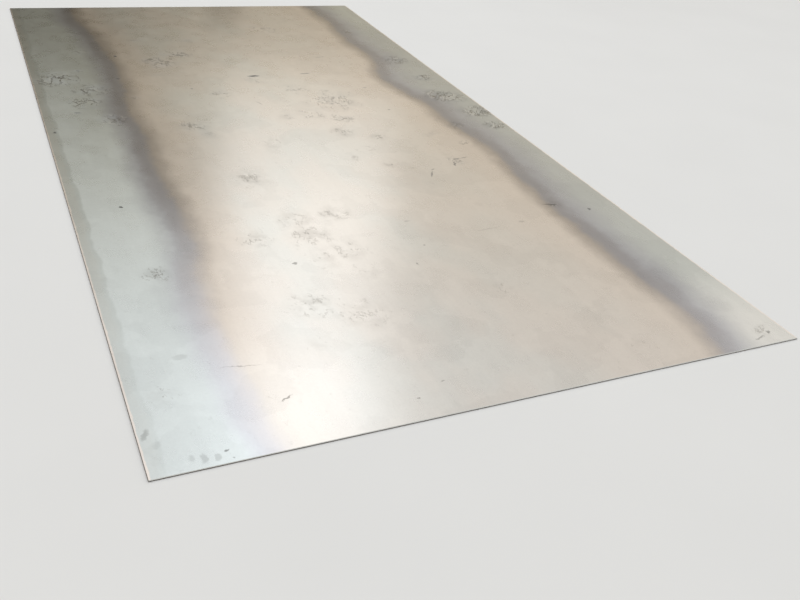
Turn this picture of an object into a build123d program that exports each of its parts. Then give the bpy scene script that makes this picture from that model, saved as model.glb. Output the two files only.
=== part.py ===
from build123d import *
from math import radians, tan
import os

os.makedirs("parts", exist_ok=True)

# Hot-rolled steel plate, cut to length from coil and lying flat.
# Millimetres. X runs across the plate, Y along the rolling direction, Z up.
# The origin is at the middle of the underside.

# Plate
plate_length = 2500.0
plate_width = 1250.0
plate_thickness = 3.0

# Mill edges along both long sides, left as rolled: they bulge at mid-thickness
mill_edge_bulge = 0.9

# Sheared ends: the blade draws the face down, then cuts a smooth land, and the
# rest of the thickness breaks away on a slope. The near end is drawn down at
# the top. The far end lay under the other blade, so it is the other way up.
drawdown_depth = 0.45
drawdown_reach = 0.8
land_height = 0.95
fracture_angle = 8.0

# Bruise in the upper edge of the near end
nick_offset = 250.0
nick_width = 7.0
nick_reach = 1.0
nick_depth = 1.4

# Rolled section, seen along the plate
edge_x = plate_width / 2
face_x = edge_x - mill_edge_bulge
middle_z = plate_thickness / 2

# Sheared outline, seen from the side: the near end from its upper face down
end_y = plate_length / 2
land_top_z = plate_thickness - drawdown_depth
land_foot_z = land_top_z - land_height
face_end = (-end_y + drawdown_reach, plate_thickness)
land_top = (-end_y, land_top_z)
land_foot = (-end_y, land_foot_z)
break_foot = (-end_y + land_foot_z * tan(radians(fracture_angle)), 0)


def turned_over(point):
    """Return the like point of the far end, which is the near end turned over."""
    y, z = point
    return (-y, plate_thickness - z)


with BuildPart() as plate:
    # Strip as it leaves the mill, long enough to crop both ends
    with BuildSketch(Plane.XZ):
        with BuildLine():
            Line((-face_x, 0), (face_x, 0))
            ThreePointArc((face_x, 0), (edge_x, middle_z), (face_x, plate_thickness))
            Line((face_x, plate_thickness), (-face_x, plate_thickness))
            ThreePointArc((-face_x, plate_thickness), (-edge_x, middle_z), (-face_x, 0))
        make_face()
    extrude(amount=plate_length, both=True)

    # Shears, which leave both end profiles
    with BuildSketch(Plane.YZ):
        with BuildLine():
            TangentArc(face_end, land_top, tangent=(-1, 0))
            Polyline(land_top, land_foot, break_foot)
            Line(break_foot, turned_over(face_end))
            TangentArc(turned_over(face_end), turned_over(land_top), tangent=(1, 0))
            Polyline(turned_over(land_top), turned_over(land_foot), turned_over(break_foot))
            Line(turned_over(break_foot), face_end)
        make_face()
    extrude(amount=plate_width, both=True, mode=Mode.INTERSECT)

    # Bruise: a shallow scoop of the given width and reach
    nick_radius = (nick_width**2 / 4 + nick_reach**2) / (2 * nick_reach)
    nick_centre_y = nick_reach - end_y - nick_radius
    with BuildSketch(Plane.XY.offset(plate_thickness)):
        with Locations((nick_offset, nick_centre_y)):
            Circle(nick_radius)
    extrude(amount=-nick_depth, mode=Mode.SUBTRACT)

plate.part.label = "plate"
export_step(plate.part, "parts/plate.step")
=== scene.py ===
"""Hot-rolled steel plate: its dressed surface, its mill scale and the studio it is seen in."""

from math import cos, radians, sin, tan

import bpy
import numpy as np
from bpy.props import FloatProperty, FloatVectorProperty, PointerProperty
from bpy.types import Operator, Panel, PropertyGroup
from mathutils import Matrix, Vector


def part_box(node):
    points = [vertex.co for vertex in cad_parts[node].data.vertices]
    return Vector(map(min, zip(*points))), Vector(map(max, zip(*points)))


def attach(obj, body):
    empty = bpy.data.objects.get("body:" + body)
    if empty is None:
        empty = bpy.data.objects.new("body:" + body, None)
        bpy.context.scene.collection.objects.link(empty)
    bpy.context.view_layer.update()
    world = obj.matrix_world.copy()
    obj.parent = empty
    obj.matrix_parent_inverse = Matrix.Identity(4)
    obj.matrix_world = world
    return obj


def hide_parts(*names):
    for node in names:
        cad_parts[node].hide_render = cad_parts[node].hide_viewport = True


bl_info = {
    "name": "Rolled steel plate",
    "version": (1, 0, 0),
    "blender": (4, 5, 0),
    "location": "3D View > Sidebar > Steel plate",
    "description": "Builds a hot-rolled steel plate with mill scale, and a studio around it",
    "category": "Add Mesh",
}

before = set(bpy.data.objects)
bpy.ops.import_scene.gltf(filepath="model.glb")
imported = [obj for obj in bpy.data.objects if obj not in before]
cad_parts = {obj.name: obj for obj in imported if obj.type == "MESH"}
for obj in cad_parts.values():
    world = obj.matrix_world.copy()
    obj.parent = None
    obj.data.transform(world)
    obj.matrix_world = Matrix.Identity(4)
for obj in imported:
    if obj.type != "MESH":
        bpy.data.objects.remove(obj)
LOW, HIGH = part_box("plate")
HALF_WIDTH = (HIGH.x - LOW.x) / 2
HALF_LENGTH = (HIGH.y - LOW.y) / 2
THICKNESS = HIGH.z - LOW.z

# Material slots of the mesh: the two faces, the sheared ends and the rolled long edges
FACES, ENDS, EDGES = 0, 1, 2

# Mesh rows next to a long edge and to an end, in metres from it
RIM_STATIONS = (0.001, 0.002, 0.004)
# The mesh is finer over this share of the bruise's width to each side, in so many steps a width
BRUISE_MARGIN = 0.6
BRUISE_STEPS = 12
# Wave lengths of the torn relief: from 4 mm up, each 1.45 times the one before
TEAR_LENGTHS = 0.004 * 1.45 ** np.arange(9)
NEAR_TEAR_SEED = 3
FAR_TEAR_SEED = 4
SHARP_ANGLE = radians(25.0)
# Points above this share of the thickness belong to the upper face
UPPER_SHARE = 0.9

# Where the tint lines run: metres along the plate, and metres from its middle line
LEFT_TINT_LINE = (
    (-1.25, 0.445), (-0.98, 0.463), (-0.76, 0.458), (-0.60, 0.427), (-0.48, 0.421),
    (-0.28, 0.424), (-0.10, 0.419), (0.02, 0.409), (0.22, 0.419), (0.42, 0.397),
    (0.70, 0.399), (0.92, 0.414), (1.10, 0.443), (1.25, 0.437),
)
RIGHT_TINT_LINE = (
    (-1.25, 0.448), (-1.10, 0.474), (-0.88, 0.466), (-0.48, 0.472), (-0.22, 0.493),
    (0.00, 0.469), (0.12, 0.473), (0.22, 0.445), (0.32, 0.427), (0.42, 0.435), (0.56, 0.477),
    (0.75, 0.464), (1.02, 0.479), (1.25, 0.466),
)

# Places where handling has marked the scale: across, along and radius in metres, and strength,
# where 1 is an ordinary mark
HANDLED = (
    (-0.555, 0.475, 0.060, 1.50), (-0.490, 0.540, 0.018, 0.80), (-0.480, 0.372, 0.046, 1.30),
    (-0.505, 0.268, 0.042, 1.30), (-0.448, 0.132, 0.040, 1.30), (-0.460, 0.725, 0.026, 0.70),
    (-0.265, 0.835, 0.026, 0.60), (-0.110, 0.825, 0.024, 0.60), (-0.180, 0.675, 0.050, 1.00),
    (-0.245, 0.605, 0.050, 1.20), (-0.265, 0.475, 0.022, 0.60), (0.010, 0.400, 0.036, 0.70),
    (-0.130, 0.295, 0.034, 0.70), (0.180, 0.190, 0.080, 0.80), (0.080, 0.090, 0.040, 0.70),
    (0.160, 0.050, 0.034, 0.90), (0.535, 0.540, 0.044, 1.50), (0.555, 0.360, 0.032, 1.40),
    (0.542, 0.170, 0.060, 1.50), (0.585, 0.030, 0.050, 1.50), (0.430, 0.355, 0.024, 0.80),
    (0.120, -0.055, 0.030, 0.90), (0.205, -0.105, 0.024, 0.70), (-0.090, -0.090, 0.034, 0.60),
    (-0.210, -0.300, 0.044, 0.64), (0.140, -0.185, 0.026, 0.60), (-0.175, -0.530, 0.038, 0.56),
    (-0.165, -0.610, 0.046, 0.64), (-0.080, -0.520, 0.038, 0.56), (-0.285, -0.595, 0.036, 0.60),
    (-0.165, -0.710, 0.040, 0.40), (-0.505, -0.690, 0.028, 0.80), (-0.255, -0.870, 0.046, 0.48),
    (-0.175, -0.930, 0.050, 0.48), (-0.095, -0.780, 0.034, 0.32), (0.460, -0.060, 0.028, 1.00),
    (0.460, -0.595, 0.024, 0.80), (0.140, -0.915, 0.022, 0.40), (-0.570, -1.060, 0.026, 0.40),
    (0.570, -1.205, 0.022, 0.64), (0.585, -0.080, 0.034, 1.40), (0.345, -0.300, 0.028, 0.72),
    (0.100, 0.300, 0.040, 0.50), (0.180, 0.945, 0.060, 0.50), (-0.260, 0.055, 0.036, 0.90),
    (0.285, -1.180, 0.024, 0.32), (-0.280, -1.005, 0.026, 0.32), (0.500, 0.880, 0.040, 0.60),
    (-0.231, -0.007, 0.030, 0.60), (0.007, 0.080, 0.024, 0.60), (-0.370, 0.300, 0.022, 0.50),
    (0.074, -0.229, 0.024, 0.50), (0.169, -0.280, 0.026, 0.50), (0.364, -0.114, 0.026, 0.70),
    (0.434, -0.194, 0.026, 0.70), (0.360, 0.175, 0.024, 0.50), (-0.110, -0.690, 0.044, 0.50),
)

# Single scratches and pits: across, along, length and width in metres, angle in degrees, darkness
SCRATCHES = (
    (0.010, 0.435, 0.046, 0.018, 0, 0.80), (0.180, 0.440, 0.046, 0.014, 5, 0.50),
    (-0.605, 0.070, 0.012, 0.014, 0, 0.85), (-0.520, -0.385, 0.009, 0.013, 0, 0.90),
    (-0.535, 0.198, 0.026, 0.014, -20, 0.45), (0.243, -0.366, 0.048, 0.005, 62, 0.60),
    (0.258, -0.340, 0.020, 0.006, 10, 0.40), (0.332, -0.318, 0.034, 0.009, 70, 0.60),
    (0.352, -0.290, 0.030, 0.009, 20, 0.45), (0.375, -0.286, 0.034, 0.007, 15, 0.35),
    (0.240, -0.675, 0.085, 0.004, 8, 0.18), (0.335, -0.660, 0.022, 0.009, 0, 0.20),
    (-0.430, -1.025, 0.090, 0.004, -12, 0.30), (-0.385, -1.130, 0.036, 0.005, 35, 0.45),
    (-0.180, -1.195, 0.009, 0.006, 0, 0.50), (-0.120, -1.165, 0.012, 0.006, 0, 0.40),
    (-0.235, -0.715, 0.014, 0.012, 30, 0.45), (-0.040, 0.200, 0.038, 0.004, -70, 0.40),
    (0.010, -0.780, 0.007, 0.008, 0, 0.50), (0.540, -0.640, 0.010, 0.012, -20, 0.60),
    (-0.520, -0.970, 0.034, 0.020, 0, 0.15), (0.455, -0.596, 0.050, 0.009, -15, 0.50),
    (-0.390, 0.460, 0.016, 0.018, 0, 0.55), (-0.490, 0.545, 0.014, 0.018, 0, 0.55),
    (-0.200, 0.345, 0.010, 0.014, 0, 0.40), (0.285, 0.600, 0.044, 0.010, 12, 0.25),
    (0.320, 0.285, 0.020, 0.012, 0, 0.30), (0.320, 0.090, 0.010, 0.010, 0, 0.40),
    (0.165, -0.290, 0.008, 0.010, 0, 0.40), (0.060, -0.710, 0.008, 0.008, 0, 0.35),
    (0.070, -0.595, 0.020, 0.005, 0, 0.35), (-0.612, -1.152, 0.034, 0.012, 65, 0.30),
    (-0.600, -1.180, 0.024, 0.014, 60, 0.10), (-0.558, -1.225, 0.012, 0.022, 0, 0.16),
    (-0.541, -1.230, 0.014, 0.028, 0, 0.22), (-0.522, -1.233, 0.012, 0.024, 0, 0.20),
    (-0.506, -1.222, 0.012, 0.005, 10, 0.55), (-0.500, -1.241, 0.006, 0.006, 0, 0.40),
    (0.581, -1.214, 0.012, 0.014, 30, 0.50), (0.548, -1.226, 0.040, 0.006, 18, 0.40),
    (0.215, -0.320, 0.050, 0.004, 20, 0.12), (-0.310, -0.160, 0.050, 0.005, 5, 0.12),
)

# Noises: scale across, along and up as shares, cells a metre, detail and roughness
NOISES = {
    "tint lines": ((1.0, 0.6, 1.0), 16.0, 5.0, 0.62),
    "fading": ((1.0, 1.0, 1.0), 2.2, 3.0, 0.5),
    "mottle": ((1.0, 0.6, 1.0), 5.0, 3.0, 0.5),
    "tide": ((0.3, 0.5, 1.0), 24.0, 4.0, 0.5),
    "rim": ((0.3, 0.6, 1.0), 90.0, 3.0, 0.5),
    "cloud": ((1.0, 0.8, 1.0), 18.0, 6.0, 0.6),
    "stain": ((1.0, 1.0, 1.0), 6.5, 4.0, 0.5),
    "streaks": ((1.0, 0.03, 1.0), 70.0, 4.0, 0.6),
    "grain": ((1.0, 0.7, 1.0), 260.0, 3.0, 0.6),
    "blotches": ((0.7, 1.0, 1.0), 32.0, 5.0, 0.6),
    "strokes": ((1.0, 1.0, 1.0), 54.0, 3.0, 0.6),
    "spread": ((0.8, 1.0, 1.0), 44.0, 3.0, 0.5),
    "blade lines": ((1.0, 1.0, 0.08), 900.0, 3.0, 0.5),
    "fracture": ((1.0, 1.0, 1.0), 160.0, 4.0, 0.5),
    "edge streaks": ((1.0, 0.05, 1.0), 700.0, 4.0, 0.5),
    "edge wear": ((1.0, 1.0, 1.0), 40.0, 5.0, 0.6),
    "floor": ((1.0, 1.0, 1.0), 3.0, 6.0, 0.5),
}

# Below, a stretch is where a smooth step starts and ends and, if not 0 and 1, its values there

# Heat tints from the long edges inwards, each with its stretch in metres inwards from the tint
# line, and the waver of that line in metres
LINED_TINTS = (
    ("violet", -0.082, -0.012), ("tint_line", -0.032, -0.003),
    ("tan", 0.000, 0.026), ("blush", 0.014, 0.066),
)
FADED_TINTS = (("blush", -0.045, 0.050),)
CENTRE_STRETCH = (0.045, 0.170)
LINE_WAVER = 0.044
OUTER_RIGHT_SHARE = 0.7
CORNER_RIM_SHARE = 0.6

# The lines fade by a sum of the place along and these shares of the place across, of the near
# corner and of a noise
FADE_ACROSS = 0.65
FADE_CORNER = -0.3
FADE_NOISE = 0.5
FADE_STRETCH = (-1.17, -0.22, 0.12, 1.0)

# Where the scale differs, and one streak of painted shade. A patch is a product of smooth
# steps, and each names what its stretch runs along, in metres
PALE_BAND = (("along", 0.70, -0.50), ("across", -0.25, -0.42))
PALE_OUTER_BAND = (("along", 1.05, 0.30), ("across", -0.44, -0.58))
DULL_BAND = (("along", 1.15, 0.75), ("across", 0.36, 0.46), ("along", -1.10, -0.40, 0.35, 1.0))
NEAR_CORNER = (("along", -0.90, -1.20), ("across", 0.42, 0.54, 0.0, 0.75))
FAINT_VIOLET = (("inwards", -0.050, -0.010), ("inwards", 0.050, 0.010, 0.0, 0.38))
PINKER_MIDDLE = (("across", -0.1, 0.35, 0.0, 0.6),)
WORN_NEAR_END = (
    ("along", -0.85, -1.20), ("across", -0.12, -0.32), ("inwards", -0.02, 0.06, 0.0, 0.45))
MARGINS = (("across", 0.4, -0.4, 0.25, 0.65), ("along", -1.2, -0.3, 0.4, 1.0))
SLOW_WAVE = (
    ("along", 0.74, 0.60), ("along", -0.60, -0.45), ("across", -0.45, -0.38),
    ("across", 0.32, 0.15, 0.0, 0.07))
# Painted shade: a streak that darkens the far end of the lamp's sheen
SHADED_STREAK = (("aside", 0.11, 0.02), ("along", 0.75, 1.25))

# The margin with its tide line, and the rim, in metres from the long edge
TIDE_WAVER = 0.030
TIDE_STRETCH = (0.032, 0.025, 0.0, 0.7)
MARGIN_STRETCH = (0.026, 0.014)
RIM_WAVER = 0.005
RIM_STRETCH = (0.0048, 0.0026)

# From where a noise or a density starts to show to where it shows in full
MOTTLE_STRETCH = (0.40, 0.62)
STAIN_STRETCH = (0.520, 0.545)
BLOTCH_STRETCH = (0.42, 0.62)
DENSITY_STRETCH = (0.600, 0.690)

# What a pattern does to a tone or a roughness: a pair is a gain and the value it starts from,
# and a single number is a gain
CLOUD_TONE = (0.16, 0.93)
STREAK_TONE = (0.06, 0.97)
GRAIN_TONE = (0.10, 0.95)
STAIN_TONE = -0.035
LAND_TONE = (0.5, 0.75)
EDGE_TONE = (0.6, 0.7)
FLOOR_TONE = (0.05, 0.975)
CLOUD_ROUGHNESS = (0.08, 0.24)
GRIME_ROUGHNESS = 0.08
PIT_ROUGHNESS = 0.20

# The slow wave turns by so many radians a metre, from a start. The streak of painted shade,
# which dims the far end of the lamp's sheen, leans across by a share of the way along, and
# passes at a distance from the middle
WAVE_TURN = (5.2, -0.42)
STREAK_LEAN = -0.3
STREAK_OFFSET = 0.24
STREAK_SHADE = -0.25

# A handled place fades out at so many of its radii, and marks grow towards the far end by the
# exponent of the growth times the way along
MARK_REACH = 1.3
MARK_GROWTH = 0.55
GRIME_SHARE = 0.22

# Strokes are contours of a noise. Each has its level and its reach, of which the core is full
# The second contour lies just beside each dark stroke: a pale line, partly scuffed scale and partly
# painted highlight, as on the lit side of a raised mark
STROKE_CONTOURS = ((0.500, 0.036), (0.575, 0.026))
STROKE_CORE = 0.2
STROKE_WEIGHT = (0.85, 0.15)
HANDLED_DENSITY = 0.26
RUB_AND_HIGHLIGHT_SHARE = 0.25
STROKE_SHARE = 0.70

# A stretch gives a speck its size from a random number. Size and border are shares of a cell
SPECK_CELLS = 16.0
SPECK_SIZES = (0.80, 1.0, 0.0, 0.050)
SPECK_BORDER = 0.012

# A scratch is full within a share of its size. Its outline wavers with a noise: cells a metre,
# detail, and metres across, along and up
SCRATCH_CORE = 0.45
SCRATCH_CELLS = 140.0
SCRATCH_DETAIL = 2.0
SCRATCH_WAVER = (0.010, 0.012, 0.0)

# Relief: its strength and its depth in metres, and how much the grain shows beside a stroke
SCALE_RELIEF = (0.8, 0.00016)
LAND_RELIEF = (0.5, 0.0002)
GRAIN_RELIEF = 0.04

# Down a sheared end, as shares of the thickness, with the roughness as the values of a stretch
CUT_WAVER = 0.16
LAND_STRETCH = (0.08, 0.15)
FRACTURE_STRETCH = (0.44, 0.50)
END_ROUGHNESS = (0.42, 0.55, 0.26, 0.55)
END_METALLIC = 0.9

# Up and down a rolled edge, in metres from mid-thickness, and the roughness of its scale and of
# its worn corners
EDGE_WAVER = 0.0006
WORN_STRETCH = (0.36 * THICKNESS, 0.47 * THICKNESS)
EDGE_ROUGHNESS = (0.50, 0.32)
EDGE_METALLIC = 0.8

# Stretches of the sky over the parts of a direction along x, y and z, and over its height, which
# counts for more towards -X, above and below a pivot
SKY_PIVOT = 0.40
SKY_STEEPNESS = (0.36, 0.0, 1.0, 1.6)
SKY_RISE = (0.145, 0.665)
TINT_RISE = (0.26, 0.64)
LOW_SIDES = (0.04, 0.29)
LOW_STRETCH = (0.45, 0.32)
PLAIN_RISE = (0.10, 0.60)
FAR_SIDE = (-0.30, 0.15)

# The stage, in metres: how far the floor lies below the plate, and where the view starts and ends
FLOOR_GAP = 0.0001
FLOOR_ROUGHNESS = 0.9
CAMERA_CLIP = (0.05, 200.0)


def a_length(name, description, default):
    """A length that the user can change, in metres."""
    return FloatProperty(name=name, description=description, default=default, unit="LENGTH")


def an_angle(name, description, degrees):
    """An angle that the user can change, given in degrees."""
    return FloatProperty(
        name=name, description=description, default=radians(degrees), subtype="ANGLE")


def a_colour(name, description, default, most=1):
    """A colour that the user can change."""
    return FloatVectorProperty(
        name=name, description=description, default=default, subtype="COLOR", size=3, min=0, max=most)


class PlateSizes(PropertyGroup):
    """Sizes of the edges and of the mesh."""

    mill_edge_bulge: a_length(
        "Mill edge bulge", "How far the rolled long edge stands out at mid-thickness", 0.0009)
    drawdown_depth: a_length(
        "Drawdown depth", "How deep the blade draws the face down at a sheared end", 0.00045)
    drawdown_reach: a_length(
        "Drawdown reach", "How far in from a sheared end the drawdown starts", 0.0008)
    land_height: a_length("Land height", "Height of the smooth land that the blade cuts", 0.00095)
    fracture_angle: an_angle("Fracture angle", "How far the broken part of the end leans back", 8.0)
    tear_depth: a_length(
        "Tear depth", "Depth of the torn relief on the broken part of the ends", 0.00012)
    nick_offset: a_length(
        "Bruise offset", "Distance of the bruise in the near end from the middle", 0.25)
    nick_width: a_length("Bruise width", "Width of the bruise along the edge", 0.007)
    nick_reach: a_length("Bruise reach", "How far the bruise pushes the edge in", 0.001)
    nick_depth: a_length("Bruise depth", "How far down the end the bruise runs", 0.0014)
    cell: a_length("Cell", "Side of a mesh cell on the upper face", 0.008)


class PlateColours(PropertyGroup):
    """Colours of the scale and of the bare steel."""

    centre: a_colour("Centre", "Warm grey scale over the middle of the plate", (0.570, 0.531, 0.486))
    centre_cool: a_colour(
        "Cool centre", "Cooler streaks in the middle of the plate", (0.550, 0.533, 0.496))
    blush: a_colour("Blush", "Pinkish heat tint just inside the tint lines", (0.554, 0.492, 0.432))
    tan: a_colour("Tan", "Brown heat tint on the inner side of the tint lines", (0.330, 0.288, 0.250))
    tint_line: a_colour("Tint line", "Dark grey line where the two scales meet", (0.252, 0.240, 0.245))
    violet: a_colour(
        "Violet", "Violet-blue heat tint on the outer side of the tint lines", (0.318, 0.316, 0.332))
    pale_violet: a_colour(
        "Pale violet", "Faint violet tint where the lines fade at the near end", (0.530, 0.520, 0.600))
    band: a_colour("Edge band", "Blue-grey scale along the long edges", (0.470, 0.488, 0.462))
    pale_band: a_colour(
        "Pale band", "Thinner scale of the edge bands towards the near end", (0.590, 0.622, 0.612))
    dull_band: a_colour(
        "Dull band", "Thicker scale of the edge band on the right", (0.393, 0.402, 0.387))
    margin: a_colour("Margin", "Duller, warmer scale next to the long edges", (0.430, 0.428, 0.390))
    tide: a_colour("Tide line", "Greenish line where the margin ends", (0.370, 0.388, 0.360))
    rim: a_colour("Rim", "Worn, pinkish rim of the long edges", (0.720, 0.655, 0.600))
    smudge: a_colour(
        "Smudge", "Dirt of the patches and strokes where the plate was handled", (0.137, 0.124, 0.103))
    # Also the painted highlight of the pale lines beside the dark strokes
    scuff_and_highlight: a_colour("Scuff", "Bright strokes where the scale is rubbed", (0.760, 0.740, 0.700))
    pit: a_colour("Pit", "Dark bottom of pits and scratches", (0.070, 0.066, 0.060))
    land: a_colour("Cut land", "Bright steel that the blade has cut", (0.620, 0.590, 0.560))
    fracture: a_colour("Fracture", "Dull steel where the end has broken away", (0.110, 0.100, 0.092))
    mill_edge: a_colour("Mill edge", "Brown-grey scale of the rolled long edges", (0.200, 0.165, 0.140))


class StageSettings(PropertyGroup):
    """Floor, light and camera."""

    floor: a_colour("Floor", "Colour of the floor", (0.712, 0.707, 0.693))
    backdrop: a_colour(
        "Backdrop", "Colour seen beyond the floor, and of the low sky towards -Y", (0.73, 0.73, 0.70))
    floor_size: a_length("Floor size", "Side of the floor", 60.0)
    horizon: a_colour(
        "Horizon", "Light that comes from near the horizon beyond the plate",
        (0.056, 0.045, 0.026), most=4)
    low_tint: a_colour(
        "Low tint", "Warm tint of the light that comes in low from beyond the plate", (1.0, 0.91, 0.64))
    sky_tilt: FloatProperty(
        name="Sky tilt", description="How much brighter the sky grows towards +X", default=0.11)
    low_left: a_colour(
        "Low left", "How bright the low sky is towards -X, as shares", (0.61, 0.575, 0.460), most=4)
    low_right: a_colour(
        "Low right", "How bright the low sky is towards +X, as shares", (2.34, 2.33, 2.58), most=4)
    zenith: a_colour("Zenith", "Light that comes from overhead", (1.11, 1.12, 1.13), most=4)
    lamp_power: FloatProperty(
        name="Lamp power", description="Power of the tall soft lamp beyond the plate",
        default=10.45, unit="POWER")
    lamp_colour: a_colour("Lamp colour", "Colour of the soft lamp", (0.95, 1.0, 1.07), most=2)
    lamp_width: a_length("Lamp width", "Width of the soft lamp", 0.92)
    lamp_foot: a_length("Lamp foot", "Height of the soft lamp's lower edge", 0.86)
    lamp_top: a_length("Lamp top", "Height of the soft lamp's upper edge", 5.3)
    lamp_distance: a_length("Lamp distance", "Distance of the lamp from the camera", 4.6)
    lamp_turn: an_angle("Lamp turn", "Direction of the lamp from the camera, from +Y towards +X", 19.7)
    camera_place: FloatVectorProperty(
        name="Camera place", description="Where the camera stands",
        default=(-0.7571, -2.2255, 0.9079), subtype="TRANSLATION", size=3)
    camera_turn: an_angle("Camera turn", "Direction of view, from +Y towards +X", 28.845)
    camera_drop: an_angle("Camera drop", "How far the view looks down", 31.394)
    camera_roll: an_angle("Camera roll", "Turn of the camera about its line of view", 6.916)
    lens: FloatProperty(
        name="Lens", description="Focal length in millimetres on a 36 mm wide sensor",
        default=40.301)
    shift: FloatVectorProperty(
        name="Shift", description="Shift of the picture, as shares of its width",
        default=(-0.0309, 0.0037), size=2)


# Outline of the edges

def half_width_at(sizes, z):
    """Half the plate's width at height z: the long edge is an arc through both faces' edges
    and a bulge at mid-thickness, so it is the bulge less what the arc falls back."""
    half_height = THICKNESS / 2
    radius = (half_height**2 + sizes.mill_edge_bulge**2) / (2 * sizes.mill_edge_bulge)
    fall = radius - np.sqrt(radius**2 - (z - half_height) ** 2)
    return HALF_WIDTH - fall


def sheared_end_at(sizes, z):
    """Distance of the near end from the middle at height z. From the top down it is an arc
    tangent to the face, then upright over the land, then a slope that leans back."""
    drop = THICKNESS - z
    radius = (sizes.drawdown_depth**2 + sizes.drawdown_reach**2) / (2 * sizes.drawdown_depth)
    arc_drop = np.clip(drop, 0, sizes.drawdown_depth)
    arc = np.sqrt(2 * radius * arc_drop - arc_drop**2) - sizes.drawdown_reach
    broken = np.clip(drop - sizes.drawdown_depth - sizes.land_height, 0, None)
    return HALF_LENGTH + arc - broken * tan(sizes.fracture_angle)


def edge_heights(sizes):
    """Heights of the mesh rows down the edges, the same from above and from below: closer
    together where a face draws down, and at both borders of the land."""
    arc_rows, land_rows, slope_rows = 5, 2, 4
    drawn = sizes.drawdown_depth * np.linspace(0, 1, arc_rows) ** 2
    land = sizes.drawdown_depth + sizes.land_height * np.linspace(0, 1, land_rows + 1)
    slope = np.linspace(land[-1], THICKNESS / 2, slope_rows)
    drops = np.concatenate([drawn, land, slope])
    same = 1e-6
    drops = np.sort(np.concatenate([drops, THICKNESS - drops]))
    return THICKNESS - drops[np.concatenate([[True], np.diff(drops) > same])]


def stations(half, cell, finer):
    """Shares from -1 to 1 about a cell apart, closer together near both rims and within
    each finer stretch, which is a middle, a reach and a step."""
    rim = np.array(RIM_STATIONS)
    places = [np.linspace(-half, half, int(2 * half / cell) + 1), rim - half, half - rim]
    for middle, reach, step in finer:
        places.append(np.arange(middle - reach, middle + reach + step / 2, step))
    decimals = 7
    return np.unique(np.round(np.concatenate(places) / half, decimals))


def bruise_at(sizes, x, z):
    """How far the bruise pushes the near end in: a rounded bump across the edge that fades
    out down its depth."""
    across = np.clip(1 - (2 * (x - sizes.nick_offset) / sizes.nick_width) ** 2, 0, None)
    down = np.clip(1 - (THICKNESS - z) / sizes.nick_depth, 0, None)
    return sizes.nick_reach * across * np.sqrt(down)


def tear_at(sizes, x, z, seed):
    """Relief of a broken end: waves of many lengths across it with random phases, which
    start below the land and are deepest at mid-slope."""
    random = np.random.default_rng(seed)
    phases = random.uniform(0, 2 * np.pi, (2, len(TEAR_LENGTHS)))
    waves = sum(
        np.sin(2 * np.pi * x / length + phase) * np.cos(2 * z / THICKNESS + turn)
        for length, phase, turn in zip(TEAR_LENGTHS, *phases))
    start = sizes.drawdown_depth + sizes.land_height
    share = np.clip((THICKNESS - z - start) / (THICKNESS - start), 0, 1)
    return sizes.tear_depth * np.sin(np.pi * share) * (0.5 + waves / len(TEAR_LENGTHS))


# Mesh

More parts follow.
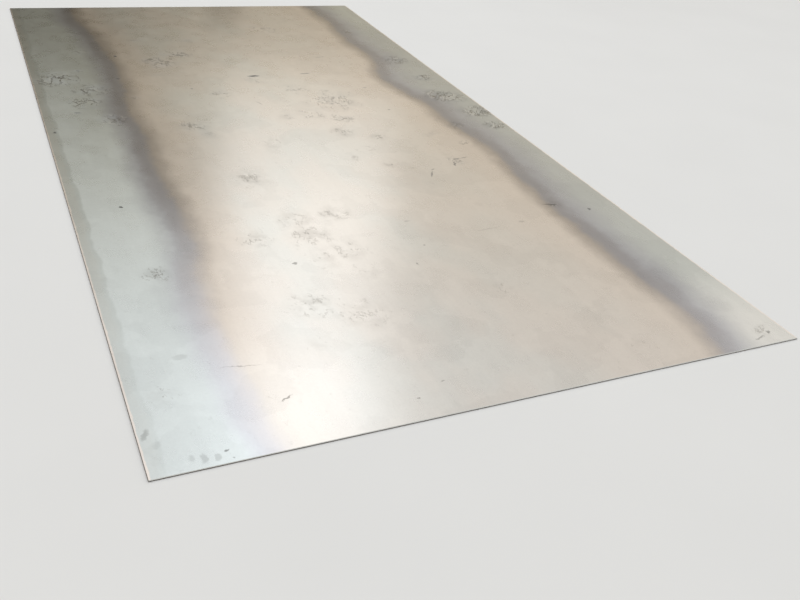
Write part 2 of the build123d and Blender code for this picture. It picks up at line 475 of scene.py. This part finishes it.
def plate_mesh(sizes):
    """The plate as one closed surface. The upper face is a grid of stations across and along.
    The edges are rows of the same outline, one for each height, and each row is the
    rectangle that the rolled section and the sheared ends leave at that height. The
    underside is strips across, between the lowest row's two long sides."""
    bruise = (sizes.nick_offset, sizes.nick_width * BRUISE_MARGIN, sizes.nick_width / BRUISE_STEPS)
    across = stations(HALF_WIDTH, sizes.cell, [bruise])
    along = stations(HALF_LENGTH, sizes.cell, [])
    heights = edge_heights(sizes)
    columns, rows = len(across), len(along)

    half_widths = half_width_at(sizes, heights)
    near_ends = sheared_end_at(sizes, heights)
    far_ends = sheared_end_at(sizes, THICKNESS - heights)

    def outline_places(level):
        """X and Y of every station at one height, with the bruise and the torn ends."""
        z = heights[level]
        x = across * half_widths[level]
        near = near_ends[level] - bruise_at(sizes, x, z) - tear_at(sizes, x, z, NEAR_TEAR_SEED)
        far = far_ends[level] - tear_at(sizes, x, THICKNESS - z, FAR_TEAR_SEED)
        share = (along + 1) / 2
        return x, near, far, share

    x, near, far, share = outline_places(0)
    grid_x = np.broadcast_to(x, (rows, columns))
    grid_y = -near + share[:, None] * (far + near)
    face = np.stack([grid_x, grid_y, np.full((rows, columns), THICKNESS)], axis=-1)

    # The outline runs along the near end, up the right side, back along the far end and
    # down the left side
    row_of = np.concatenate([
        np.zeros(columns - 1, int), np.arange(rows - 1),
        np.full(columns - 1, rows - 1), np.arange(rows - 1, 0, -1)])
    column_of = np.concatenate([
        np.arange(columns - 1), np.full(rows - 1, columns - 1),
        np.arange(columns - 1, 0, -1), np.zeros(rows - 1, int)])
    outline = len(row_of)

    levels = []
    for level in range(1, len(heights)):
        x, near, far, share = outline_places(level)
        y = -near[column_of] + share[row_of] * (far + near)[column_of]
        levels.append(np.stack([x[column_of], y, np.full(outline, heights[level])], axis=-1))
    places = np.concatenate([face.reshape(-1, 3), *levels])

    index = np.arange(rows * columns).reshape(rows, columns)
    face_quads = np.stack(
        [index[:-1, :-1], index[:-1, 1:], index[1:, 1:], index[1:, :-1]], axis=-1).reshape(-1, 4)
    rings = [index[row_of, column_of]]
    for level in range(1, len(heights)):
        rings.append(rows * columns + (level - 1) * outline + np.arange(outline))
    rings = np.array(rings)
    upper, lower = rings[:-1], rings[1:]
    wall_quads = np.stack(
        [upper, lower, np.roll(lower, -1, axis=1), np.roll(upper, -1, axis=1)], axis=-1).reshape(-1, 4)

    bottom = rings[-1]
    right = bottom[columns - 1:columns + rows - 1]
    left = np.concatenate([[bottom[0]], bottom[:-rows:-1]])
    under_quads = np.stack([left[1:-2], left[2:-1], right[2:-1], right[1:-2]], axis=-1)
    near_strip = [*bottom[:columns][::-1], left[1], right[1]]
    far_strip = [*bottom[columns + rows - 2:2 * columns + rows - 2][::-1], right[-2], left[-2]]
    faces = [*face_quads.tolist(), *wall_quads.tolist(), *under_quads.tolist(), near_strip, far_strip]

    ends = np.zeros(outline, bool)
    ends[:columns - 1] = True
    ends[columns + rows - 2:2 * columns + rows - 3] = True
    kinds = np.full(len(faces), FACES)
    walls = slice(len(face_quads), len(face_quads) + len(wall_quads))
    kinds[walls] = np.where(np.tile(ends, len(heights) - 1), ENDS, EDGES)
    return places, faces, kinds


def handling_at(places):
    """How much each point was handled: the greatest strength of the marked places, each
    falling off smoothly to nothing at its reach, on the upper face only."""
    marks = np.array(HANDLED)
    gaps = np.hypot(places[:, None, 0] - marks[:, 0], places[:, None, 1] - marks[:, 1])
    share = np.clip(1 - (gaps / (MARK_REACH * marks[:, 2])) ** 2, 0, None)
    upper = places[:, 2] > UPPER_SHARE * THICKNESS
    return (share * marks[:, 3]).max(axis=1) * upper


# Material nodes

def set_inputs(tree, node, inputs):
    """Gives each named or numbered input of a node a value or a link."""
    for name, value in inputs.items():
        if isinstance(value, bpy.types.NodeSocket):
            tree.links.new(value, node.inputs[name])
        else:
            node.inputs[name].default_value = value


def add_node(tree, kind, inputs=None, **settings):
    """Adds a node, sets its fields and gives it its inputs."""
    node = tree.nodes.new(kind)
    for name, value in settings.items():
        setattr(node, name, value)
    set_inputs(tree, node, inputs or {})
    return node


def maths(tree, operation, first, second=0.0, third=0.0, clamp=False):
    """The result of one sum on two or three values or links."""
    node = add_node(tree, "ShaderNodeMath", {0: first, 1: second, 2: third},
                    operation=operation, use_clamp=clamp)
    return node.outputs[0]


def vector_maths(tree, operation, *values):
    """The result of one sum on places."""
    node = add_node(tree, "ShaderNodeVectorMath", dict(enumerate(values)), operation=operation)
    return node.outputs[0]


def scaled(tree, value, gain, start):
    """The value times a gain, from a start."""
    return maths(tree, "MULTIPLY_ADD", value, gain, start)


def ranged(tree, value, low, high, to_low=0.0, to_high=1.0):
    """The value brought smoothly from one range to another, and held at its ends."""
    node = add_node(tree, "ShaderNodeMapRange", {
        "Value": value, "From Min": low, "From Max": high, "To Min": to_low, "To Max": to_high},
        interpolation_type="SMOOTHSTEP")
    return node.outputs["Result"]


def blended(tree, share, first, second, mode="MIX"):
    """Two colours mixed by a share."""
    node = add_node(tree, "ShaderNodeMix", {0: share}, data_type="RGBA", blend_type=mode)
    for number, colour in ((6, first), (7, second)):
        if isinstance(colour, bpy.types.NodeSocket):
            tree.links.new(colour, node.inputs[number])
        else:
            node.inputs[number].default_value = (*colour, 1.0)
    return node.outputs[2]


def noise(tree, place, name):
    """One of the noises, about 0.5, with its pattern stretched by its shares."""
    stretch, scale, detail, roughness = NOISES[name]
    moved = add_node(tree, "ShaderNodeMapping", {"Vector": place, "Scale": stretch})
    node = add_node(tree, "ShaderNodeTexNoise", {
        "Vector": moved.outputs[0], "Scale": scale, "Detail": detail, "Roughness": roughness})
    return node.outputs["Fac"]


def split(tree, place):
    """The parts of a place along x, y and z."""
    return add_node(tree, "ShaderNodeSeparateXYZ", {0: place}).outputs


def patch(tree, places, steps):
    """A patch as a share: the product of its smooth steps."""
    share = None
    for name, *stretch in steps:
        step = ranged(tree, places[name], *stretch)
        share = step if share is None else maths(tree, "MULTIPLY", share, step)
    return share


def layered(tree, colour, inwards, tints, colours):
    """A colour with tints laid over it in turn, each from where it comes in."""
    for name, start, end in tints:
        colour = blended(tree, ranged(tree, inwards, start, end), colour, getattr(colours, name))
    return colour


def toned(tree, colour, tone):
    """A colour made lighter or darker by a tone."""
    grey = add_node(tree, "ShaderNodeCombineColor", {0: tone, 1: tone, 2: tone}).outputs[0]
    return blended(tree, 1.0, colour, grey, "MULTIPLY")


def embossed(tree, height, strength, depth):
    """A fine relief, for a shader's normal."""
    return add_node(tree, "ShaderNodeBump", {
        "Strength": strength, "Distance": depth, "Height": height}).outputs[0]


def line_curve(tree, along, line):
    """Distance of a tint line from the middle, from its stations along the plate. The curve
    holds each distance as a share of the half width."""
    share = scaled(tree, along, 0.5 / HALF_LENGTH, 0.5)
    node = add_node(tree, "ShaderNodeFloatCurve", {"Value": share})
    curve = node.mapping.curves[0]
    points = [((y / HALF_LENGTH + 1) / 2, x / HALF_WIDTH) for y, x in line]
    curve.points[0].location = points[0]
    curve.points[1].location = points[-1]
    for point in points[1:-1]:
        curve.points.new(*point)
    node.mapping.update()
    return maths(tree, "MULTIPLY", node.outputs[0], HALF_WIDTH)


def scratch_group():
    """A node group for one scratch: 1 in its middle and 0 outside its length and width."""
    tree = bpy.data.node_groups.new("scratch", "ShaderNodeTree")
    face = tree.interface
    for name, kind in (("Place", "NodeSocketVector"), ("Middle", "NodeSocketVector"),
                       ("Turn", "NodeSocketVector"), ("Size", "NodeSocketVector"),
                       ("Darkness", "NodeSocketFloat")):
        face.new_socket(name, in_out="INPUT", socket_type=kind)
    face.new_socket("Mark", in_out="OUTPUT", socket_type="NodeSocketFloat")
    given = tree.nodes.new("NodeGroupInput")
    made = tree.nodes.new("NodeGroupOutput")
    moved = add_node(tree, "ShaderNodeMapping", {
        "Vector": given.outputs["Place"], "Location": given.outputs["Middle"],
        "Rotation": given.outputs["Turn"], "Scale": given.outputs["Size"]},
        vector_type="TEXTURE")
    length = add_node(tree, "ShaderNodeVectorMath", {0: moved.outputs[0]}, operation="LENGTH")
    mark = ranged(tree, length.outputs["Value"], 1.0, SCRATCH_CORE)
    tree.links.new(maths(tree, "MULTIPLY", mark, given.outputs["Darkness"]), made.inputs[0])
    return tree


def scratches(tree, place):
    """All scratches and pits as one darkness: the strongest at each place, with ragged borders."""
    group = scratch_group()
    flat = vector_maths(tree, "MULTIPLY", place, (1.0, 1.0, 0.0))
    ragged = add_node(tree, "ShaderNodeTexNoise", {
        "Vector": flat, "Scale": SCRATCH_CELLS, "Detail": SCRATCH_DETAIL}).outputs["Color"]
    flat = vector_maths(tree, "MULTIPLY_ADD", ragged, SCRATCH_WAVER, flat)
    flat = vector_maths(tree, "SUBTRACT", flat, [part / 2 for part in SCRATCH_WAVER])
    most = None
    for x, y, length, width, angle, darkness in SCRATCHES:
        node = add_node(tree, "ShaderNodeGroup", {
            "Place": flat, "Middle": (x, y, 0.0), "Turn": (0.0, 0.0, radians(angle)),
            "Size": (length / 2, width / 2, 1.0), "Darkness": darkness}, node_tree=group)
        most = node.outputs[0] if most is None else maths(tree, "MAXIMUM", most, node.outputs[0])
    return most


def new_material(name):
    """A new material with its nodes, its shader and the place of each point on the object."""
    material = bpy.data.materials.new(name)
    material.use_nodes = True
    tree = material.node_tree
    place = add_node(tree, "ShaderNodeTexCoord").outputs["Object"]
    return material, tree, tree.nodes["Principled BSDF"], place


def from_line(tree, place, x, y):
    """Metres inwards from the nearer tint line, with a waver. Outside the right line they
    count for less, so that its outer tints reach farther."""
    left = maths(tree, "ADD", x, line_curve(tree, y, LEFT_TINT_LINE))
    right = maths(tree, "SUBTRACT", line_curve(tree, y, RIGHT_TINT_LINE), x)
    right = maths(tree, "MAXIMUM", right, maths(tree, "MULTIPLY", right, OUTER_RIGHT_SHARE))
    inwards = maths(tree, "MINIMUM", left, right)
    ragged = noise(tree, place, "tint lines")
    waver = scaled(tree, ragged, LINE_WAVER, -LINE_WAVER / 2)
    return maths(tree, "ADD", inwards, waver)


def edge_band(tree, places, corner, colours):
    """Blue-grey scale of the edge bands: duller on the right, paler on the left towards the
    near end, and pale and pinkish in the near right corner."""
    band = blended(tree, patch(tree, places, DULL_BAND), colours.band, colours.dull_band)
    sides = maths(tree, "MAXIMUM", patch(tree, places, PALE_BAND), patch(tree, places, PALE_OUTER_BAND))
    band = blended(tree, maths(tree, "MAXIMUM", sides, corner), band, colours.pale_band)
    return blended(tree, maths(tree, "MULTIPLY", corner, CORNER_RIM_SHARE), band, colours.rim)


def line_strength(tree, place, places, corner):
    """How strongly the tint lines show: less towards the near end, the left and the corner."""
    fade = scaled(tree, places["across"], FADE_ACROSS, places["along"])
    fade = scaled(tree, corner, FADE_CORNER, fade)
    fade = scaled(tree, noise(tree, place, "fading"), FADE_NOISE, fade)
    return ranged(tree, fade, *FADE_STRETCH)


def tint_across(tree, place, colours):
    """Heat tint from the long edges inwards: an edge band, a line that passes from violet
    through dark grey to tan and fades to a faint violet towards the near end, and a warm,
    mottled middle. The near end is worn bright on the left."""
    x, y = split(tree, place)[:2]
    inwards = from_line(tree, place, x, y)
    places = {"across": x, "along": y, "inwards": inwards}
    corner = patch(tree, places, NEAR_CORNER)
    band = edge_band(tree, places, corner, colours)
    faded = layered(tree, band, inwards, FADED_TINTS, colours)
    faded = blended(tree, patch(tree, places, FAINT_VIOLET), faded, colours.pale_violet)
    lined = layered(tree, band, inwards, LINED_TINTS, colours)
    tinted = blended(tree, line_strength(tree, place, places, corner), faded, lined)

    mottle = ranged(tree, noise(tree, place, "mottle"), *MOTTLE_STRETCH)
    centre = blended(tree, mottle, colours.centre, colours.centre_cool)
    centre = blended(tree, patch(tree, places, PINKER_MIDDLE), centre, colours.blush)
    tinted = blended(tree, ranged(tree, inwards, *CENTRE_STRETCH), tinted, centre)
    return blended(tree, patch(tree, places, WORN_NEAR_END), tinted, colours.scuff_and_highlight)


def edge_tints(tree, place, tinted, colours):
    """Duller margin along each long edge with a wavy tide line, and a worn rim."""
    x, y = split(tree, place)[:2]
    edge = maths(tree, "SUBTRACT", HALF_WIDTH, maths(tree, "ABSOLUTE", x))
    tide = maths(tree, "SUBTRACT", edge, TIDE_WAVER / 2)
    tide = scaled(tree, noise(tree, place, "tide"), TIDE_WAVER, tide)
    dulled = blended(tree, ranged(tree, tide, *TIDE_STRETCH), tinted, colours.tide)
    dulled = blended(tree, ranged(tree, tide, *MARGIN_STRETCH), dulled, colours.margin)
    share = patch(tree, {"across": x, "along": y}, MARGINS)
    tinted = blended(tree, share, tinted, dulled)
    rim = maths(tree, "ADD", edge, RIM_WAVER / 2)
    rim = scaled(tree, noise(tree, place, "rim"), -RIM_WAVER, rim)
    return blended(tree, ranged(tree, rim, *RIM_STRETCH), tinted, colours.rim)


def receding(tree, place):
    """The place in steps that grow towards the far end, where the marks are larger: x and -1,
    both times the exponent of minus y times the growth."""
    x, y = split(tree, place)[:2]
    steps = maths(tree, "EXPONENT", maths(tree, "MULTIPLY", y, -MARK_GROWTH))
    return add_node(tree, "ShaderNodeCombineXYZ", {
        0: maths(tree, "MULTIPLY", steps, x), 1: maths(tree, "MULTIPLY", steps, -1.0)}).outputs[0]


def specks(tree, place):
    """Small dark specks: dots in the middles of a few cells, chosen by their random colour."""
    cells = add_node(tree, "ShaderNodeTexVoronoi", {"Vector": place, "Scale": SPECK_CELLS})
    chosen = add_node(tree, "ShaderNodeSeparateColor", {0: cells.outputs["Color"]}).outputs
    size = ranged(tree, chosen[0], *SPECK_SIZES)
    inside = maths(tree, "SUBTRACT", size, cells.outputs["Distance"])
    return maths(tree, "MULTIPLY", ranged(tree, inside, 0.0, SPECK_BORDER), chosen[1])


def handling_strokes(tree, place, handled):
    """Thin, broken strokes across the plate, dense where it was handled and rare elsewhere:
    contour lines of a noise, kept where a second noise and the handling are high. Beside each
    dark stroke, at a higher contour, lies a pale line: partly scuffed scale and partly a painted
    highlight, as on the lit side of a raised mark."""
    field = noise(tree, place, "strokes")
    held = maths(tree, "MINIMUM", handled, 1.0)
    dense = scaled(tree, held, HANDLED_DENSITY, noise(tree, place, "spread"))
    weight = maths(tree, "MULTIPLY", ranged(tree, dense, *DENSITY_STRETCH),
                   scaled(tree, handled, *STROKE_WEIGHT))
    lines = []
    for level, reach in STROKE_CONTOURS:
        off = maths(tree, "ABSOLUTE", maths(tree, "SUBTRACT", field, level))
        line = ranged(tree, off, reach, STROKE_CORE * reach)
        lines.append(maths(tree, "MULTIPLY", line, weight))
    return lines


def scale_tone(tree, place, cloud, grain):
    """Tone of the mill scale: cloudy, stained, finely streaked along the plate and grainy,
    with a slow sine wave along its middle, and a streak of painted shade that dims the sheen at
    the far end."""
    x, y = split(tree, place)[:2]
    tone = scaled(tree, cloud, *CLOUD_TONE)
    stain = ranged(tree, noise(tree, place, "stain"), *STAIN_STRETCH)
    tone = scaled(tree, stain, STAIN_TONE, tone)
    leaning = scaled(tree, y, STREAK_LEAN, x)
    aside = maths(tree, "ABSOLUTE", maths(tree, "ADD", leaning, STREAK_OFFSET))
    places = {"across": x, "along": y, "aside": aside}
    wave = maths(tree, "SINE", scaled(tree, y, *WAVE_TURN))
    tone = scaled(tree, wave, patch(tree, places, SLOW_WAVE), tone)
    # Painted shade along the far end of the sheen streak
    tone = scaled(tree, patch(tree, places, SHADED_STREAK), STREAK_SHADE, tone)
    streaks = scaled(tree, noise(tree, place, "streaks"), *STREAK_TONE)
    tone = maths(tree, "MULTIPLY", tone, streaks)
    return maths(tree, "MULTIPLY", tone, scaled(tree, grain, *GRAIN_TONE))


def mill_scale_material(colours):
    """Scale of the two faces: heat tints across the plate and a varied tone, and on the upper
    face patches and strokes where it was handled, and single scratches and pits."""
    material, tree, shader, place = new_material("mill_scale")
    cloud = noise(tree, place, "cloud")
    grain = noise(tree, place, "grain")
    tinted = edge_tints(tree, place, tint_across(tree, place, colours), colours)
    tinted = toned(tree, tinted, scale_tone(tree, place, cloud, grain))

    handled = add_node(tree, "ShaderNodeAttribute", attribute_name="handling").outputs["Fac"]
    marked = receding(tree, place)
    blotches = ranged(tree, noise(tree, marked, "blotches"), *BLOTCH_STRETCH)
    grime = maths(tree, "MULTIPLY", blotches, handled, clamp=True)
    strokes, rubbed_and_lit = handling_strokes(tree, marked, handled)
    pits = maths(tree, "MAXIMUM", scratches(tree, place), specks(tree, marked))
    upper = maths(tree, "GREATER_THAN", split(tree, place)[2], THICKNESS / 2)
    pits = maths(tree, "MULTIPLY", pits, upper)
    tinted = blended(tree, maths(tree, "MULTIPLY", grime, GRIME_SHARE), tinted, colours.smudge)
    # Pale lines beside the dark strokes: scuffed scale and a painted highlight
    tinted = blended(tree, maths(tree, "MULTIPLY", rubbed_and_lit, RUB_AND_HIGHLIGHT_SHARE), tinted, colours.scuff_and_highlight)
    dark = maths(tree, "MULTIPLY", strokes, STROKE_SHARE, clamp=True)
    tinted = blended(tree, dark, tinted, colours.smudge)
    tinted = blended(tree, pits, tinted, colours.pit)

    rough = scaled(tree, cloud, *CLOUD_ROUGHNESS)
    rough = scaled(tree, grime, GRIME_ROUGHNESS, rough)
    rough = scaled(tree, pits, PIT_ROUGHNESS, rough)
    height = maths(tree, "MULTIPLY", grain, GRAIN_RELIEF)
    height = scaled(tree, strokes, -1.0, height)
    set_inputs(tree, shader, {
        "Base Color": tinted, "Metallic": 1.0, "Roughness": rough,
        "Normal": embossed(tree, height, *SCALE_RELIEF)})
    return material


def sheared_end_material(colours):
    """Sheared ends: scale where the face is drawn down, a bright land with fine upright
    lines, and a dark, torn fracture."""
    material, tree, shader, place = new_material("sheared_end")
    cut = add_node(tree, "ShaderNodeAttribute", attribute_name="cut_depth").outputs["Fac"]
    lines = noise(tree, place, "blade lines")
    depth = maths(tree, "SUBTRACT", cut, CUT_WAVER / 2)
    depth = scaled(tree, noise(tree, place, "fracture"), CUT_WAVER, depth)
    worn = blended(tree, ranged(tree, depth, *LAND_STRETCH), colours.band, colours.land)
    worn = blended(tree, ranged(tree, depth, *FRACTURE_STRETCH), worn, colours.fracture)
    tone = scaled(tree, lines, *LAND_TONE)
    set_inputs(tree, shader, {
        "Base Color": toned(tree, worn, tone), "Metallic": END_METALLIC,
        "Roughness": ranged(tree, depth, *END_ROUGHNESS),
        "Normal": embossed(tree, lines, *LAND_RELIEF)})
    return material


def mill_edge_material(colours):
    """Rolled long edges: brown-grey scale, worn pinkish at both corners, with fine streaks
    along the edge."""
    material, tree, shader, place = new_material("mill_edge")
    off = maths(tree, "SUBTRACT", split(tree, place)[2], THICKNESS / 2)
    off = maths(tree, "SUBTRACT", maths(tree, "ABSOLUTE", off), EDGE_WAVER / 2)
    off = scaled(tree, noise(tree, place, "edge wear"), EDGE_WAVER, off)
    worn = ranged(tree, off, *WORN_STRETCH)
    scale = blended(tree, worn, colours.mill_edge, colours.rim)
    tone = scaled(tree, noise(tree, place, "edge streaks"), *EDGE_TONE)
    set_inputs(tree, shader, {
        "Base Color": toned(tree, scale, tone), "Metallic": EDGE_METALLIC,
        "Roughness": ranged(tree, worn, 0.0, 1.0, *EDGE_ROUGHNESS)})
    return material


# Operators

def new_object(context, name, data):
    """An object for a mesh, a lamp or a camera, put into the scene."""
    made = bpy.data.objects.new(name, data)
    context.scene.collection.objects.link(made)
    return made


class OBJECT_OT_rolled_plate(Operator):
    """Build the dressed plate in place of the plain solid"""

    bl_idname = "object.rolled_plate"
    bl_label = "Rolled plate"

    def execute(self, context):
        sizes = context.scene.plate_sizes
        colours = context.scene.plate_colours
        places, faces, kinds = plate_mesh(sizes)
        mesh = bpy.data.meshes.new("rolled_plate")
        mesh.from_pydata(places.tolist(), [], faces)
        if mesh.validate():
            raise RuntimeError("the plate's mesh has faces that Blender had to mend")
        mesh.polygons.foreach_set("material_index", kinds.astype(np.int32))
        mesh.polygons.foreach_set("use_smooth", kinds != FACES)
        mesh.set_sharp_from_angle(angle=SHARP_ANGLE)

        handling = mesh.attributes.new("handling", "FLOAT", "POINT")
        handling.data.foreach_set("value", handling_at(places).astype(np.float32))
        depth = np.where(places[:, 1] < 0, THICKNESS - places[:, 2], places[:, 2]) / THICKNESS
        cut_depth = mesh.attributes.new("cut_depth", "FLOAT", "POINT")
        cut_depth.data.foreach_set("value", depth.astype(np.float32))

        for made in (mill_scale_material, sheared_end_material, mill_edge_material):
            mesh.materials.append(made(colours))
        plate = new_object(context, "rolled_plate", mesh)
        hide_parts("plate")
        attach(plate, "root")
        return {"FINISHED"}


class SCENE_OT_plate_studio(Operator):
    """Set up the floor, the soft light and the camera"""

    bl_idname = "scene.plate_studio"
    bl_label = "Studio"

    def execute(self, context):
        stage = context.scene.plate_stage
        make_floor(context, stage)
        make_sky(context, stage)
        make_lamp(context, stage)
        make_camera(context, stage)
        context.scene.view_settings.view_transform = "Standard"
        return {"FINISHED"}


def make_floor(context, stage):
    """A wide, pale, faintly mottled floor just under the plate."""
    half = stage.floor_size / 2
    under = LOW.z - FLOOR_GAP
    mesh = bpy.data.meshes.new("floor")
    corners = [(-half, -half, under), (half, -half, under), (half, half, under), (-half, half, under)]
    mesh.from_pydata(corners, [], [(0, 1, 2, 3)])
    material, tree, shader, place = new_material("floor")
    tone = scaled(tree, noise(tree, place, "floor"), *FLOOR_TONE)
    set_inputs(tree, shader, {
        "Base Color": toned(tree, stage.floor, tone), "Roughness": FLOOR_ROUGHNESS})
    mesh.materials.append(material)
    floor = new_object(context, "floor", mesh)


def make_sky(context, stage):
    """Soft light from all round. Towards +Y, the side that the plate mirrors in the main view,
    it grows from a dim, warm horizon to the zenith and towards +X, and is dimmest low down
    towards -X. Towards -Y it grows from the backdrop's colour to the zenith, so that the steel
    shows the backdrop. A camera sees the plain backdrop on every side."""
    world = bpy.data.worlds.new("studio")
    world.use_nodes = True
    tree = world.node_tree
    place = add_node(tree, "ShaderNodeTexCoord").outputs["Generated"]
    x, y, z = split(tree, place)
    height = scaled(tree, x, stage.sky_tilt, z)
    height = maths(tree, "SUBTRACT", height, SKY_PIVOT)
    height = scaled(tree, height, ranged(tree, x, *SKY_STEEPNESS), SKY_PIVOT)
    colour = blended(tree, ranged(tree, height, *SKY_RISE), stage.horizon, stage.zenith)
    warmth = blended(tree, ranged(tree, height, *TINT_RISE), stage.low_tint, (1.0, 1.0, 1.0))
    colour = blended(tree, 1.0, colour, warmth, "MULTIPLY")
    side = blended(tree, ranged(tree, x, *LOW_SIDES), stage.low_left, stage.low_right)
    colour = blended(tree, ranged(tree, z, *LOW_STRETCH), colour, side, "MULTIPLY")
    plain = blended(tree, ranged(tree, z, *PLAIN_RISE), stage.backdrop, stage.zenith)
    colour = blended(tree, ranged(tree, y, *FAR_SIDE), plain, colour)
    seen = add_node(tree, "ShaderNodeLightPath").outputs["Is Camera Ray"]
    colour = blended(tree, seen, colour, stage.backdrop)
    set_inputs(tree, tree.nodes["Background"], {"Color": colour, "Strength": 1.0})
    context.scene.world = world


def make_lamp(context, stage):
    """A tall soft lamp that stands beyond the plate and gives its long sheen."""
    data = bpy.data.lights.new("soft_lamp", "AREA")
    data.shape = "RECTANGLE"
    data.size = stage.lamp_width
    data.size_y = stage.lamp_top - stage.lamp_foot
    data.energy = stage.lamp_power
    data.color = stage.lamp_colour
    lamp = new_object(context, "soft_lamp", data)
    away = Vector((sin(stage.lamp_turn), cos(stage.lamp_turn), 0.0))
    height = (stage.lamp_foot + stage.lamp_top) / 2
    start = Vector((stage.camera_place[0], stage.camera_place[1], height))
    lamp.location = start + away * stage.lamp_distance
    lamp.rotation_mode = "QUATERNION"
    lamp.rotation_quaternion = (-away).to_track_quat("-Z", "Y")


def make_camera(context, stage):
    """The camera where the plate was seen from, looking down along it from its near end."""
    forward = Vector((
        sin(stage.camera_turn) * cos(stage.camera_drop),
        cos(stage.camera_turn) * cos(stage.camera_drop),
        -sin(stage.camera_drop)))
    level = forward.cross(Vector((0, 0, 1))).normalized()
    upright = level.cross(forward)
    right = level * cos(stage.camera_roll) + upright * sin(stage.camera_roll)
    up = upright * cos(stage.camera_roll) - level * sin(stage.camera_roll)
    data = bpy.data.cameras.new("camera")
    data.lens = stage.lens
    data.shift_x, data.shift_y = stage.shift
    data.clip_start, data.clip_end = CAMERA_CLIP
    camera = new_object(context, "camera", data)
    turn = Matrix((right, up, -forward)).transposed()
    camera.matrix_world = Matrix.Translation(Vector(stage.camera_place)) @ turn.to_4x4()
    context.scene.camera = camera


class VIEW3D_PT_rolled_plate(Panel):
    """Sizes and colours of the plate, and the steps that build it"""

    bl_label = "Steel plate"
    bl_space_type = "VIEW_3D"
    bl_region_type = "UI"
    bl_category = "Steel plate"

    def draw(self, context):
        layout = self.layout
        for operator in OPERATORS:
            layout.operator(operator.bl_idname)
        for group, place in GROUPS.items():
            settings = getattr(context.scene, place)
            box = layout.box()
            for name in group.__annotations__:
                box.prop(settings, name)


GROUPS = {
    PlateSizes: "plate_sizes",
    PlateColours: "plate_colours",
    StageSettings: "plate_stage",
}
OPERATORS = (OBJECT_OT_rolled_plate, SCENE_OT_plate_studio)


def register():
    """Add the settings, the operators and the panel"""
    for group, name in GROUPS.items():
        bpy.utils.register_class(group)
        setattr(bpy.types.Scene, name, PointerProperty(type=group))
    for operator in OPERATORS:
        bpy.utils.register_class(operator)
    bpy.utils.register_class(VIEW3D_PT_rolled_plate)


def unregister():
    """Take them away again"""
    bpy.utils.unregister_class(VIEW3D_PT_rolled_plate)
    for operator in reversed(OPERATORS):
        bpy.utils.unregister_class(operator)
    for group, name in reversed(GROUPS.items()):
        delattr(bpy.types.Scene, name)
        bpy.utils.unregister_class(group)


def main():
    """Build the plate and the studio"""
    register()
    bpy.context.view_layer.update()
    bpy.ops.object.rolled_plate()
    bpy.ops.scene.plate_studio()


if __name__ == "__main__":
    main()
